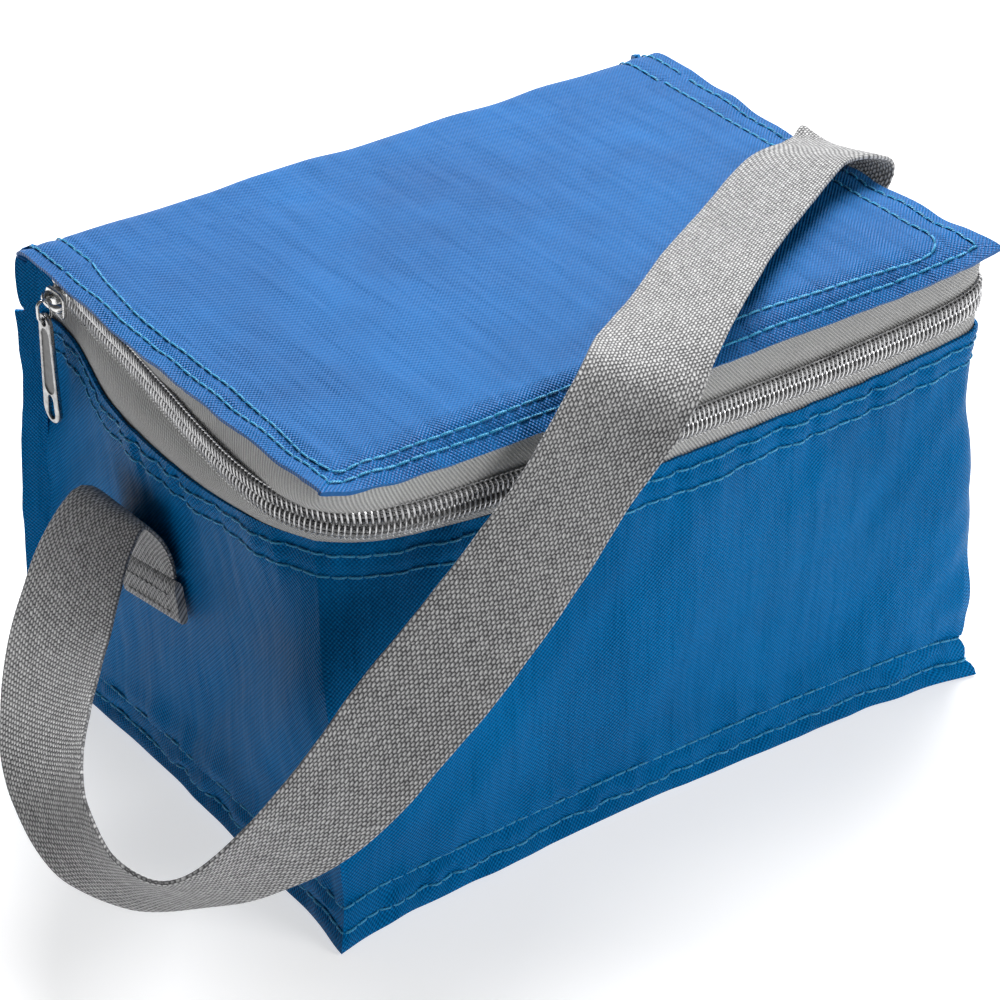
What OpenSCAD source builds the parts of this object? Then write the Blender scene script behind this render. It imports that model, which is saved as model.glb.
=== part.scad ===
// Insulated cooler bag, sized for six drink cans. A soft box of laminated walls (outer cloth, foam
// and foil lining), a zip round three sides of its lid, and one webbing strap.
// The origin is at the middle of the base, +X along the long front, -Y to the front, +Z up.

/* [Body] */
// Width between the outer faces of the side walls
body_w = 200; // [196:1:204]
// Front wall, from the middle of the base
front_reach = 72; // [70:1:74]
// Back wall, from the middle of the base
back_reach = 74; // [72:1:76]
// Radius of the soft front corners
corner_r = 20; // [14:1:26]
// Height of the lid's upper face
lid_z = 138; // [136:1:140]

/* [Walls] */
// Thickness of the outer cloth
cloth_t = 0.6; // [0.4:0.1:0.8]
// Thickness of the foam
foam_t = 3.6; // [2:0.1:4]
// Thickness of the foil lining
liner_t = 0.4; // [0.2:0.1:0.5]

/* [Lid] */
// How far the lid's edge stands out beyond the side walls
lid_overhang = 5; // [3:0.5:6]
// How far the lid's edge stands out beyond the front wall
lid_front_overhang = 4; // [3:0.5:5]

/* [Zip] */
// Height of the zip's middle line along the front
zip_z = 118; // [116:0.5:120]
// Rise of the zip towards the back, as height over length
zip_slope = 0.09; // [0.06:0.01:0.1]
// Height of one half of the chain
coil_h = 3.9; // [3:0.1:4]
// Thickness of the chain
coil_t = 2.5; // [2:0.1:2.6]
// Distance from the zip's middle line down to the edge of the body's cloth
rim_drop = 10.5; // [9:0.5:12]
// Place of the slider along the left side
slider_y = 59; // [57:0.5:62]

/* [Strap] */
// Width of the webbing
strap_w = 30; // [25:1:32]
// Thickness of the webbing
strap_t = 1.4; // [1:0.1:1.6]

/* [Hidden] */
$fn = 48;
gap = 0.1;
half_w = body_w / 2;

// Layers, counted inwards from the outer face of a wall
tape_in = cloth_t + gap;
tape_t = 0.7;
foam_in = tape_in + tape_t + 0.3;
liner_in = foam_in + foam_t + gap;

// Levels
foam_floor_z = cloth_t + gap;
liner_floor_z = foam_floor_z + foam_t + gap;
cavity_z = liner_floor_z + liner_t;
lid_cloth_z = lid_z - cloth_t;
lid_foam_z = lid_cloth_z - gap - foam_t;
lid_liner_z = lid_foam_z - gap - liner_t;
back_top_z = lid_z - 3.8;
back_foam_top_z = lid_liner_z - 2.5;

// Rear ends of the layers that meet at the back
zip_rear_y = back_reach - 4;
fold_r = 3.6;
fold_y = back_reach - fold_r;
ramp_y = -front_reach + corner_r;

// Seam allowances that stand out of the seams
base_flange_h = 12;
base_flange_out = 5;
base_flange_front_out = 4;
back_flange_out = [7, 6];
back_flange_t = 1.2;

// Stitch rows: thread size, and distances from the edge that each row follows
thread_w = 0.6;
thread_h = 0.3;
lid_rows = [4, 12];
rim_rows = [4, 10];
base_rows = [5, 11];

// Slider, ring and tab
plate_l = 9.4;
plate_h = 9.2;
plate_t = 0.9;
plate_gap = 0.3;
neck_l = 3;
neck_t = 0.5;
slider_z = zip_z + zip_slope * (slider_y - ramp_y);
slope_deg = atan(zip_slope);
chain_x = -half_w - coil_t + cloth_t;
plate_x = chain_x - plate_gap - plate_t;
back_plate_x = -half_w + tape_in + tape_t + plate_gap;
bar_x = plate_x - 2.2;
bar_r = 0.45;
bar_half_l = 3.6;
ring_wire = 0.9;
ring_hole = [3, 5];
ring_corner = 1.3;
ring_x = bar_x + 0.6 - ring_hole[0] / 2;
ring_top_z = slider_z + bar_r + 0.45;
ring_bottom_z = ring_top_z - ring_hole[1];
tab_t = 1.4;
tab_l = 33;
tab_top_w = 6;
tab_low_w = 8.4;
tab_hole_r = 1.5;
tab_pivot_z = ring_bottom_z - ring_wire / 2;
tab_top_z = tab_pivot_z + 2;

// Sewn ends of the strap: the middle of each end, its tilt, and the height where the run leaves it
end_y = 19.5;
end_low_z = 53.5;
end_top_z = 64.5;
end_tilt = 10;
tack_w = 24;
tack_rows = [3, 8];

// The strap's run from its right end to its left end. Each station is the middle of the webbing and
// the direction across it, from its inner to its outer edge.
strap_route = [
    [[102, 19.5, 64.5], [0, -1, -0.18]],
    [[102.5, 17.5, 76], [0, -1, -0.2]],
    [[105, 12, 93], [0, -1, -0.3]],
    [[108.5, 5, 111], [0, -1, -0.3]],
    [[110.5, -0.5, 125], [0.1, -1, -0.25]],
    [[108.5, -6, 137], [0.2, -1, -0.15]],
    [[99, -11, 142.5], [0.35, -0.9, 0.1]],
    [[88, -15, 143.5], [0.4, -0.9, 0.2]],
    [[75, -21, 143], [0.45, -0.9, 0.2]],
    [[54, -33, 142], [0.5, -0.85, 0.2]],
    [[33, -46, 142], [0.52, -0.83, 0.15]],
    [[13, -60, 142], [0.52, -0.83, 0.1]],
    [[-4, -72, 141.8], [0.52, -0.8, -0.1]],
    [[-18, -82, 138.5], [0.55, -0.65, -0.45]],
    [[-37, -86, 122], [0.6, -0.35, -0.72]],
    [[-63, -91, 102], [0.56, -0.45, -0.7]],
    [[-91, -94, 83], [0.52, -0.5, -0.7]],
    [[-119, -96, 64], [0.54, -0.2, -0.8]],
    [[-140, -91, 51], [0.55, 0.2, -0.8]],
    [[-153, -83, 45], [0.55, 0.4, -0.75]],
    [[-163, -70, 45], [0.3, 0.35, -0.9]],
    [[-167, -55, 50], [-0.1, 0.3, -0.9]],
    [[-164, -39, 55], [-0.4, 0.4, -0.8]],
    [[-157, -24, 59], [-0.6, 0.5, -0.6]],
    [[-148, -10, 62], [-0.67, 0.6, -0.45]],
    [[-138, 3, 66], [-0.67, 0.7, -0.3]],
    [[-128, 13, 73], [-0.55, 0.8, -0.25]],
    [[-119, 19, 80.5], [-0.35, 0.92, -0.15]],
    [[-111, 21.5, 86], [-0.1, 0.99, -0.05]],
    [[-105, 21.5, 81], [0, 1, -0.05]],
    [[-102.3, 21, 73], [0, 1, -0.12]],
    [[-102, 19.5, 64.5], [0, 1, -0.18]]
];

cloth = "steelblue";
foam = "white";
foil = "silver";
grey = "darkgray";
metal = "gainsboro";
thread = "deepskyblue";

// Plan of the body, drawn in by inset from its outer faces: round front corners and a flat rear
module plan(inset, rear) {
    r = corner_r - inset;
    half = half_w - inset;
    front = -front_reach + inset;
    translate([-half, front + r]) square([2 * half, rear - front - r]);
    translate([-half + r, front]) square([2 * (half - r), r + 1]);
    for (side = [-1, 1]) translate([side * (half - r), front + r]) circle(r);
}

// Wall round the left side, the front and the right side, open at the back
module u_wall(inset, thick, low, high, rear) {
    translate([0, 0, low]) linear_extrude(high - low) difference() {
        plan(inset, rear);
        plan(inset + thick, rear + 10);
    }
}

// Everything below a line that runs a fixed height over or under the zip
module below_zip(offset_z) {
    z = zip_z + offset_z;
    reach = 150;
    rise = zip_slope * (reach - ramp_y);
    rotate([90, 0, 90]) linear_extrude(4 * reach, center = true)
        polygon([[-reach, -1], [-reach, z], [ramp_y, z], [reach, z + rise], [reach, -1]]);
}

// Part of the side-and-front wall between two lines that follow the zip
module zip_band(inset, thick, low, high, rear) {
    difference() {
        intersection() {
            u_wall(inset, thick, 0, lid_z + 20, rear);
            below_zip(high);
        }
        below_zip(low);
    }
}

module outer_wrap() {
    color(cloth) {
        intersection() {
            u_wall(0, cloth_t, cloth_t, lid_z, back_reach);
            below_zip(-rim_drop);
        }
        for (side = [-1, 1]) back_flange(side);
    }
}

// Seam allowance that stands out of a rear corner at a slant
module back_flange(side) {
    low = base_flange_h;
    high = zip_z - rim_drop + zip_slope * (back_reach - ramp_y) - 1;
    x = half_w;
    y = back_reach;
    out = back_flange_out;
    mirror([side < 0 ? 1 : 0, 0, 0]) translate([0, 0, low]) linear_extrude(high - low) polygon([
        [x, y - back_flange_t], [x + out[0], y + out[1] - back_flange_t],
        [x + out[0] - back_flange_t, y + out[1]], [x - back_flange_t, y]
    ]);
}

module outer_back() {
    inset = back_flange_t + 0.3;
    color(cloth) translate([-half_w + inset, back_reach - cloth_t, cloth_t])
        cube([body_w - 2 * inset, cloth_t, back_top_z - cloth_t]);
}

module outer_base() {
    inset = 1.4;
    color(cloth) translate([-half_w - base_flange_out + inset, -front_reach - base_flange_front_out + inset, 0])
        cube([
            body_w + 2 * (base_flange_out - inset),
            front_reach + back_reach + 2 * (base_flange_front_out - inset),
            cloth_t - 0.01
        ]);
}

// Rectangular frustum from the floor to the top of the base flange, its top grown by grow
module base_frustum(low_out, low_front_out, grow) {
    hull() {
        translate([-half_w - low_out, -front_reach - low_front_out, -grow])
            cube([body_w + 2 * low_out, front_reach + back_reach + 2 * low_front_out, 0.01]);
        translate([-half_w - grow, -front_reach - grow, base_flange_h + grow])
            cube([body_w + 2 * grow, front_reach + back_reach + 2 * grow, 0.01]);
    }
}

// Seam allowance of the base, sloping out to the floor on all four sides
module base_seam_flange() {
    thick = 1;
    color(cloth) difference() {
        intersection() {
            base_frustum(base_flange_out, base_flange_front_out, thick);
            translate([-body_w, -body_w, 0]) cube([2 * body_w, 2 * body_w, base_flange_h]);
        }
        base_frustum(base_flange_out - thick, base_flange_front_out - thick, 0.1);
        translate([-body_w, -body_w, -1]) cube([2 * body_w, 2 * body_w, 1]);
    }
}

// Cloth that turns from the back wall into the lid, a quarter round
module lid_hinge_fold() {
    color(cloth) translate([0, fold_y, back_top_z]) rotate([90, 0, 90])
        linear_extrude(body_w - 2, center = true) intersection() {
            difference() {
                circle(fold_r + 0.2);
                circle(fold_r + 0.2 - cloth_t);
            }
            translate([0.1, 0.1]) square(fold_r + 1);
        }
}

module outer_lid() {
    w = body_w + 2 * lid_overhang;
    d = front_reach + lid_front_overhang + fold_y;
    color(cloth) translate([-w / 2, -front_reach - lid_front_overhang, lid_cloth_z]) cube([w, d, cloth_t]);
}

module foam_wrap() {
    color(foam) intersection() {
        u_wall(foam_in, foam_t, liner_floor_z, lid_z, back_reach - 1);
        below_zip(-rim_drop - 2);
    }
}

// Panel between the side walls at the back, from its outer face inwards
module back_panel(inset, thick, high, side_inset) {
    translate([-half_w + side_inset, back_reach - inset - thick, liner_floor_z])
        cube([body_w - 2 * side_inset, thick, high - liner_floor_z]);
}

module foam_back() {
    color(foam) back_panel(cloth_t + gap, foam_t - 0.4, back_foam_top_z, liner_in);
}

module foam_base() {
    color(foam) translate([0, 0, foam_floor_z]) linear_extrude(foam_t) plan(tape_in + tape_t, back_reach - 1);
}

module foam_lid() {
    color(foam) translate([0, 0, lid_foam_z]) linear_extrude(foam_t) plan(3, zip_rear_y - 2);
}

module liner_wrap() {
    color(foil) intersection() {
        u_wall(liner_in, liner_t, cavity_z, lid_z, zip_rear_y - 0.5);
        below_zip(-rim_drop - 2);
    }
}

module liner_back() {
    color(foil) back_panel(foam_t + 0.5, liner_t, back_foam_top_z, liner_in + liner_t + gap);
}

module liner_base() {
    inset = liner_in + liner_t + gap;
    color(foil) translate([0, 0, liner_floor_z - 0.02]) linear_extrude(liner_t - 0.02)
        plan(inset, back_reach - foam_t - 1);
}

module liner_lid() {
    color(foil) translate([0, 0, lid_liner_z]) linear_extrude(liner_t) plan(3, zip_rear_y - 2);
}

module zip_tape_body() {
    color(grey) zip_band(tape_in, tape_t, -rim_drop - 6, -1.8, zip_rear_y);
}

module zip_tape_lid() {
    color(grey) difference() {
        u_wall(tape_in, tape_t, zip_z, lid_cloth_z - 0.05, zip_rear_y);
        below_zip(1.8);
    }
}

module zip_coil_body() {
    color(metal) zip_band(cloth_t - coil_t, coil_t, -0.4 - coil_h, -0.4, zip_rear_y - 1);
}

module zip_coil_lid() {
    color(metal) zip_band(cloth_t - coil_t, coil_t, 0.4, 0.4 + coil_h, zip_rear_y - 1);
}

// Slider: a plate on each side of the chain, the neck between them, and the bridge for the ring
module zip_slider() {
    color(metal) translate([0, slider_y, slider_z]) rotate([slope_deg, 0, 0]) {
        translate([plate_x, -plate_l / 2, -plate_h / 2]) cube([plate_t, plate_l, plate_h]);
        translate([back_plate_x, -plate_l / 2, -plate_h / 2]) cube([plate_t, plate_l, plate_h]);
        translate([plate_x + 0.1, plate_l / 2 - neck_l, -neck_t / 2])
            cube([back_plate_x - plate_x, neck_l, neck_t]);
        translate([bar_x, 0, 0]) rotate([90, 0, 0]) cylinder(h = 2 * bar_half_l, r = bar_r, center = true);
        for (side = [-1, 1])
            translate([bar_x - bar_r, side * bar_half_l - 0.5, -0.8]) cube([plate_x - bar_x + bar_r + 0.1, 1, 1.6]);
    }
}

// Rounded rectangle about the middle of its hole
module rounded(size, r) {
    square([size[0], size[1] - 2 * r], center = true);
    square([size[0] - 2 * r, size[1]], center = true);
    for (x = [-1, 1], z = [-1, 1]) translate([x * (size[0] / 2 - r), z * (size[1] / 2 - r)]) circle(r);
}

module pull_ring() {
    full = [ring_hole[0] + 2 * ring_wire, ring_hole[1] + 2 * ring_wire];
    color(metal) translate([ring_x, slider_y, (ring_top_z + ring_bottom_z) / 2]) rotate([90, 0, 0])
        linear_extrude(ring_wire, center = true) difference() {
            rounded(full, ring_corner + ring_wire);
            rounded(ring_hole, ring_corner);
        }
}

// Tab: wider at its foot, with a hole for the ring at the top and a slot near the foot
module pull_tab() {
    low_r = tab_low_w / 2;
    top_r = tab_top_w / 2;
    drop = tab_l - top_r - low_r;
    slot = [2.4, 5];
    color(metal) translate([ring_x, slider_y, tab_top_z - top_r]) rotate([90, 0, 90])
        linear_extrude(tab_t, center = true) difference() {
            union() {
                circle(top_r);
                polygon([
                    [0.05 - top_r, 0.02], [top_r - 0.05, 0.02],
                    [low_r - 0.05, -drop], [0.05 - low_r, -drop]
                ]);
                translate([0, -drop]) circle(low_r);
            }
            translate([0, tab_pivot_z - tab_top_z + top_r - 0.3]) circle(tab_hole_r);
            translate([0, -drop]) square(slot, center = true);
        }
}

// Row of thread round the three outer sides of the body, at a height from the zip
module rim_row(drop) {
    zip_band(-thread_h - 0.02, thread_h, -rim_drop - drop - thread_w, -rim_drop - drop, back_reach - 6);
}

module rim_topstitch() {
    color(thread) for (drop = rim_rows) rim_row(drop);
}

// Row of thread round the lid's three free edges, set in by a distance from the edge
module lid_row(inset) {
    half = half_w + lid_overhang - inset;
    front = -front_reach - lid_front_overhang + inset;
    translate([0, 0, lid_z + 0.02]) linear_extrude(thread_h) difference() {
        translate([-half, front]) square([2 * half, fold_y - front - 1]);
        translate([-half + thread_w, front + thread_w]) square([2 * (half - thread_w), fold_y - front]);
    }
}

module lid_topstitch() {
    color(thread) for (inset = lid_rows) lid_row(inset);
}

// Row of thread round the base flange at a height, lying on its slope
module base_row(height) {
    share = (height + 1) / (base_flange_h + 2);
    out_x = half_w + base_flange_out - (base_flange_out - 1) * share + thread_h + 0.05;
    out_y = base_flange_front_out - (base_flange_front_out - 1) * share + thread_h + 0.05;
    front = -front_reach - out_y;
    rear = back_reach + out_y;
    translate([0, 0, height]) linear_extrude(thread_w) difference() {
        translate([-out_x, front]) square([2 * out_x, rear - front]);
        translate([-out_x + thread_h, front + thread_h])
            square([2 * (out_x - thread_h), rear - front - 2 * thread_h]);
    }
}

module base_topstitch() {
    color(thread) for (height = base_rows) base_row(height);
}

function unit(v) = v / norm(v);

// Point of the smooth curve through four stations, at t between the second and the third
function blend4(a, b, c, d, t) =
    0.5 * (2 * b + (c - a) * t + (2 * a - 5 * b + 4 * c - d) * t * t + (3 * b - a - 3 * c + d) * t * t * t);

// Station k of the route, with one more beyond each end
function station(k, part) =
    let (last = len(strap_route) - 1)
    k < 0 ? 2 * strap_route[0][part] - strap_route[1][part]
    : k > last ? 2 * strap_route[last][part] - strap_route[last - 1][part]
    : strap_route[k][part];

function along(u, part) =
    let (k = floor(u))
    blend4(station(k - 1, part), station(k, part), station(k + 1, part), station(k + 2, part), u - k);

// Corners of the webbing's section at u along the route
function section(u) =
    let (
        p = along(u, 0),
        ahead = unit(along(u + 0.01, 0) - along(u - 0.01, 0)),
        lean = along(u, 1),
        across = unit(lean - ahead * (lean * ahead)),
        face = cross(ahead, across),
        a = across * strap_w / 2,
        f = face * strap_t / 2
    )
    [p - a - f, p + a - f, p + a + f, p - a + f];

module shoulder_strap() {
    step = 0.5;
    last = len(strap_route) - 1;
    start = 0.03;
    stations = [start, for (u = [step : step : last - step]) u, last - start];
    rings = [for (u = stations) section(u)];
    count = len(rings);
    points = [for (ring = rings) for (corner = ring) corner];
    sides = [
        for (k = [0 : count - 2], c = [0 : 3])
        let (a = 4 * k + c, b = 4 * k + (c + 1) % 4)
        each [[a, b, b + 4], [a, b + 4, a + 4]]
    ];
    foot = [[3, 2, 1, 0]];
    head = [[4 * count - 4, 4 * count - 3, 4 * count - 2, 4 * count - 1]];
    color(grey) polyhedron(points = points, faces = concat(foot, sides, head));
}

// Sewn end of the strap on a side wall, tilted, with the webbing folded under itself
module sewn_end(side) {
    x = side > 0 ? half_w + 0.05 : -half_w - 0.05 - 2 * strap_t + 0.1;
    translate([x, end_y, end_top_z]) rotate([end_tilt * side, 0, 0])
        translate([0, -strap_w / 2, end_low_z - end_top_z]) cube([2 * strap_t - 0.1, strap_w, end_top_z - end_low_z]);
}

// Two rows of thread across a sewn end
module tack(side) {
    face = half_w + 0.05 + 2 * strap_t - 0.1 + 0.02;
    x = side > 0 ? face : -face - thread_h;
    for (row = tack_rows) translate([x, end_y, end_top_z]) rotate([end_tilt * side, 0, 0])
        translate([0, -tack_w / 2, -row]) cube([thread_h, tack_w, thread_w]);
}

module strap_end_left() { color(grey) sewn_end(-1); }
module strap_end_right() { color(grey) sewn_end(1); }
module strap_tack_left() { color(thread) tack(-1); }
module strap_tack_right() { color(thread) tack(1); }

outer_wrap();
outer_back();
outer_base();
base_seam_flange();
lid_hinge_fold();
outer_lid();
foam_wrap();
foam_back();
foam_base();
foam_lid();
liner_wrap();
liner_back();
liner_base();
liner_lid();
zip_tape_body();
zip_tape_lid();
zip_coil_body();
zip_coil_lid();
zip_slider();
pull_ring();
pull_tab();
rim_topstitch();
lid_topstitch();
base_topstitch();
shoulder_strap();
strap_end_left();
strap_end_right();
strap_tack_left();
strap_tack_right();
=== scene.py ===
import math
import bpy
import numpy as np
from mathutils import Matrix, Vector


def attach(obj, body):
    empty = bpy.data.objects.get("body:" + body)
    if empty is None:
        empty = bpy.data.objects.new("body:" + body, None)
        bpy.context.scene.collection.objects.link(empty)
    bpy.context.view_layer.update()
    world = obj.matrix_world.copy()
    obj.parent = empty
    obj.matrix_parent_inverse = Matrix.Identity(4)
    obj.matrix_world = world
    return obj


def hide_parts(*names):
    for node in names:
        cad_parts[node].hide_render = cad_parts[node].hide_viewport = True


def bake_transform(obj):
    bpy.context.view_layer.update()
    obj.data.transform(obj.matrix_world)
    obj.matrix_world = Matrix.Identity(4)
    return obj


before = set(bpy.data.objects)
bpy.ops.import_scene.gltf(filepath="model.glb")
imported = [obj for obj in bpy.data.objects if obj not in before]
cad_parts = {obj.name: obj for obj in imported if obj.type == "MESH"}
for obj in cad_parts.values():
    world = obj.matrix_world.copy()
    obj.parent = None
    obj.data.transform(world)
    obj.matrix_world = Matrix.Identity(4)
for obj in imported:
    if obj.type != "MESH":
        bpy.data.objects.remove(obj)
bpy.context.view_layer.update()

# All shapes are worked out in millimetres in the row frame and turned into metres as meshes.
MM = 0.001
SIDES = ((-1, "left"), (1, "right"))


# ---------------------------------------------------------------- shape helpers
def ease(t):
    t = np.clip(t, 0, 1)
    return t * t * (3 - 2 * t)


def bump_at(x, centre, width):
    return np.exp(-(((x - centre) / width) ** 2))


def hump(x):
    """Half a wave: 0 at 0, 1 at a half and 0 again at 1."""
    return np.clip(np.sin(math.pi * x), 0, 1)


def fade(x, start, over):
    """1 up to the start, then falling away over about that distance."""
    return np.exp(-np.clip(x - start, 0, 99) / over)


def noise(x, y, seed, cell_x, cell_y=None):
    """Smooth repeatable noise from -1 to 1 over cells of that size."""
    table = np.random.RandomState(seed).uniform(-1, 1, (64, 64))
    u, v = np.broadcast_arrays(np.asarray(x, float) / cell_x, np.asarray(y, float) / (cell_y or cell_x))
    i, j = np.floor(u).astype(int), np.floor(v).astype(int)
    fu, fv = ease(u - i), ease(v - j)
    g = lambda a, b: table[a % 64, b % 64]
    low = g(i, j) * (1 - fu) + g(i + 1, j) * fu
    high = g(i, j + 1) * (1 - fu) + g(i + 1, j + 1) * fu
    return low * (1 - fv) + high * fv


def curve(points, per=16):
    """Catmull-Rom curve through the points."""
    p = np.array(points, float)
    q = np.vstack([2 * p[0] - p[1], p, 2 * p[-1] - p[-2]])
    t = np.linspace(0, 1, per, endpoint=False)[:, None]
    out = []
    for k in range(1, len(q) - 2):
        a, b, c, d = q[k - 1], q[k], q[k + 1], q[k + 2]
        square = (2 * a - 5 * b + 4 * c - d) * t**2
        cube = (3 * b - a - 3 * c + d) * t**3
        out.append(0.5 * (2 * b + (c - a) * t + square + cube))
    out.append(p[-1:])
    return np.vstack(out)


def lengths(p):
    return np.concatenate([[0], np.cumsum(np.linalg.norm(np.diff(p, axis=0), axis=1))])


def even(points, n, per=16):
    """n + 1 points at equal steps along the curve."""
    p = curve(points, per) if len(points) > 2 else np.array(points, float)
    s = lengths(p)
    return along(np.linspace(0, s[-1], n + 1), s, p)


def along(at, s, p):
    """Points or directions at distances along a line whose points are s apart from its start."""
    return np.stack([np.interp(at, s, p[:, k]) for k in range(p.shape[1])], -1)


def stacked(*parts):
    """Numbers or grids of each coordinate as one grid of points."""
    return np.stack(np.broadcast_arrays(*parts), -1).astype(float)


def unit(v):
    return v / np.maximum(np.linalg.norm(v, axis=-1, keepdims=True), 1e-9)


def grid_normals(P):
    return unit(np.cross(np.gradient(P, axis=1), np.gradient(P, axis=0)))


def ring_normals(P):
    """Normals of a grid whose last column meets its first."""
    return grid_normals(np.concatenate([P[:, -2:], P, P[:, :2]], 1))[:, 2:-2]


def between(low, high, share):
    """Points of two lines or plans mixed, with the share of the second one at each point."""
    return low * (1 - share[..., None]) + high * share[..., None]


def add_object(name, data):
    obj = bpy.data.objects.new(name, data)
    bpy.context.scene.collection.objects.link(obj)
    return obj


def make(name, verts, faces, uv=None, material=None, smooth_angle=None):
    """Object from points in millimetres, with its faces, its places in the cloth and its material."""
    mesh = bpy.data.meshes.new(name)
    mesh.from_pydata(
        (np.asarray(verts) * MM).tolist(), [], faces if isinstance(faces, list) else faces.tolist()
    )
    if uv is not None:
        layer = mesh.uv_layers.new(name="UVMap")
        index = np.zeros(len(mesh.loops), np.int32)
        mesh.loops.foreach_get("vertex_index", index)
        layer.data.foreach_set("uv", np.asarray(uv, np.float32)[index].ravel())
    mesh.polygons.foreach_set("use_smooth", [True] * len(mesh.polygons))
    if smooth_angle:
        mesh.set_sharp_from_angle(angle=math.radians(smooth_angle))
    mesh.validate()
    if material:
        mesh.materials.append(material)
    return add_object(name, mesh)


def grid_faces(rows, cols, start=0, close=False, back=False):
    """Faces of a grid of points, the first of which has the number start; back turns them round."""
    j, i = np.meshgrid(np.arange(rows - 1), np.arange(cols if close else cols - 1), indexing="ij")
    k = (i + 1) % cols
    f = stacked(j * cols + i, j * cols + k, (j + 1) * cols + k, (j + 1) * cols + i)
    f = f.reshape(-1, 4).astype(int) + start
    return f[:, ::-1] if back else f


def caps(rows, cols, start=0):
    """End faces of a solid made of outlines one after another."""
    last = start + (rows - 1) * cols
    return [list(range(start + cols - 1, start - 1, -1)), list(range(last, last + cols))]


def cloth(name, P, material, thick=0.7, close=False, uv=None, smooth_angle=50):
    """Sheet of cloth whose face is the grid P (rows, columns, xyz), thickened away from its face."""
    rows, cols = P.shape[:2]
    N = ring_normals(P) if close else grid_normals(P)
    if uv is None:
        uv = np.stack(np.meshgrid(lengths(P[rows // 2]), lengths(P[:, cols // 2])), -1)
    verts = np.concatenate([P.reshape(-1, 3), (P - N * thick).reshape(-1, 3)])
    n = rows * cols
    faces = [grid_faces(rows, cols, 0, close), grid_faces(rows, cols, n, close, back=True)]
    rim = lambda a: np.stack([a[1:], a[:-1], a[:-1] + n, a[1:] + n], 1)
    ids = np.arange(n).reshape(rows, cols)
    loop = lambda a: np.append(a, a[0]) if close else a
    faces += [rim(loop(ids[0])), rim(loop(ids[-1])[::-1])]
    if not close:
        faces += [rim(ids[:, 0][::-1]), rim(ids[:, -1])]
    flat = uv.reshape(-1, 2)
    return make(name, verts, np.concatenate(faces), np.concatenate([flat, flat]), material, smooth_angle)


def dress(piece, body, slot, *replaced):
    """Put a piece on its body and hide the CAD nodes it stands for. The colour slot is not used.

    A piece of the fold, which is on the bag below and on the lid above, has its place baked into its mesh and
    is put on no body.
    """
    if body == "fold":
        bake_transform(piece)
    else:
        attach(piece, body)
    if replaced:
        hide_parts(*replaced)
    return piece


class Batch:
    """Collects many small meshes into one."""

    def __init__(self):
        self.verts, self.faces, self.uv, self.count = [], [], [], 0

    def tube(self, path, radius, sides=6, close=False, flat=1.0, up=None):
        """Tube along the path; radius is one number or one for each point; flat squeezes it along up."""
        path = np.asarray(path, float)
        n = len(path)
        radius = np.broadcast_to(np.asarray(radius, float), (n,))
        if close:
            ahead = unit(np.roll(path, -1, 0) - np.roll(path, 1, 0))
        else:
            ahead = unit(np.gradient(path, axis=0))
        if up is None:
            frames = []
            v = np.array([0.3, 0.4, 0.86])
            v = unit(v - ahead[0] * (v @ ahead[0]))
            for t in ahead:
                v = unit(v - t * (v @ t))
                frames.append(v)
            a = np.array(frames)
        else:
            up = np.broadcast_to(np.asarray(up, float), (n, 3))
            a = unit(up - ahead * (up * ahead).sum(1, keepdims=True))
        b = np.cross(ahead, a)
        ang = np.arange(sides) * 2 * math.pi / sides
        ring = a[:, None] * (np.cos(ang)[None, :, None] * flat) + b[:, None] * np.sin(ang)[None, :, None]
        faces = grid_faces(n + 1 if close else n, sides, close=True) % (n * sides) + self.count
        self.faces += faces.tolist()
        if not close:
            self.faces += caps(n, sides, self.count)
        self.verts.append((path[:, None] + ring * radius[:, None, None]).reshape(-1, 3))
        self.uv.append(stacked(ang * 0.5, lengths(path)[:, None]).reshape(-1, 2))
        self.count += n * sides

    def make(self, name, material, smooth_angle=60):
        return make(name, np.vstack(self.verts), self.faces, np.vstack(self.uv), material, smooth_angle)


# ---------------------------------------------------------------- materials
class Shader:
    """A material, with short ways to add and join its nodes."""

    def __init__(self, name):
        self.material = bpy.data.materials.new(name)
        self.material.use_nodes = True
        self.tree = self.material.node_tree

    def feed(self, socket, value):
        """Give an input a value, or link it to a node's output."""
        if hasattr(value, "links"):
            self.tree.links.new(value, socket)
        else:
            socket.default_value = value

    def node(self, kind, *values, **named):
        """New node with its inputs fed in order or by name."""
        n = self.tree.nodes.new("ShaderNode" + kind)
        for key, value in [*enumerate(values), *named.items()]:
            if value is not None:
                self.feed(n.inputs[key], value)
        return n

    def math(self, op, *values):
        n = self.node("Math", *values)
        n.operation = op
        return n.outputs[0]

    def scaled(self, a, by, plus):
        return self.math("MULTIPLY_ADD", a, by, plus)

    def wave(self, x, period):
        return self.math("SINE", self.scaled(x, 2 * math.pi / period, 0.0))

    def uv(self):
        n = self.node("UVMap")
        n.uv_map = "UVMap"
        parts = self.node("SeparateXYZ", n.outputs[0])
        return n.outputs[0], parts.outputs[0], parts.outputs[1]

    def where(self):
        return self.node("TexCoord").outputs["Object"]

    def noise(self, vector, scale, detail):
        return self.node("TexNoise", Vector=vector, Scale=scale, Detail=detail).outputs[0]

    def ramp(self, fac, stops):
        n = self.node("ValToRGB", fac)
        e = n.color_ramp.elements
        while len(e) < len(stops):
            e.new(0.5)
        for k, (pos, col) in enumerate(stops):
            e[k].position = pos
            e[k].color = (*col, 1)
        return n.outputs[0]

    def bump(self, height, distance, strength, normal=None):
        n = self.node("Bump", Height=height, Distance=distance, Strength=strength, Normal=normal)
        return n.outputs[0]

    def surface(self, colour, roughness, normal=None, **others):
        """Set the surface's inputs and hand over the material; other inputs by name, _ for a space."""
        inputs = {"Base Color": colour, "Roughness": roughness, "Normal": normal, **others}
        for name, value in inputs.items():
            if value is not None:
                self.feed(self.tree.nodes["Principled BSDF"].inputs[name.replace("_", " ")], value)
        return self.material


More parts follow.
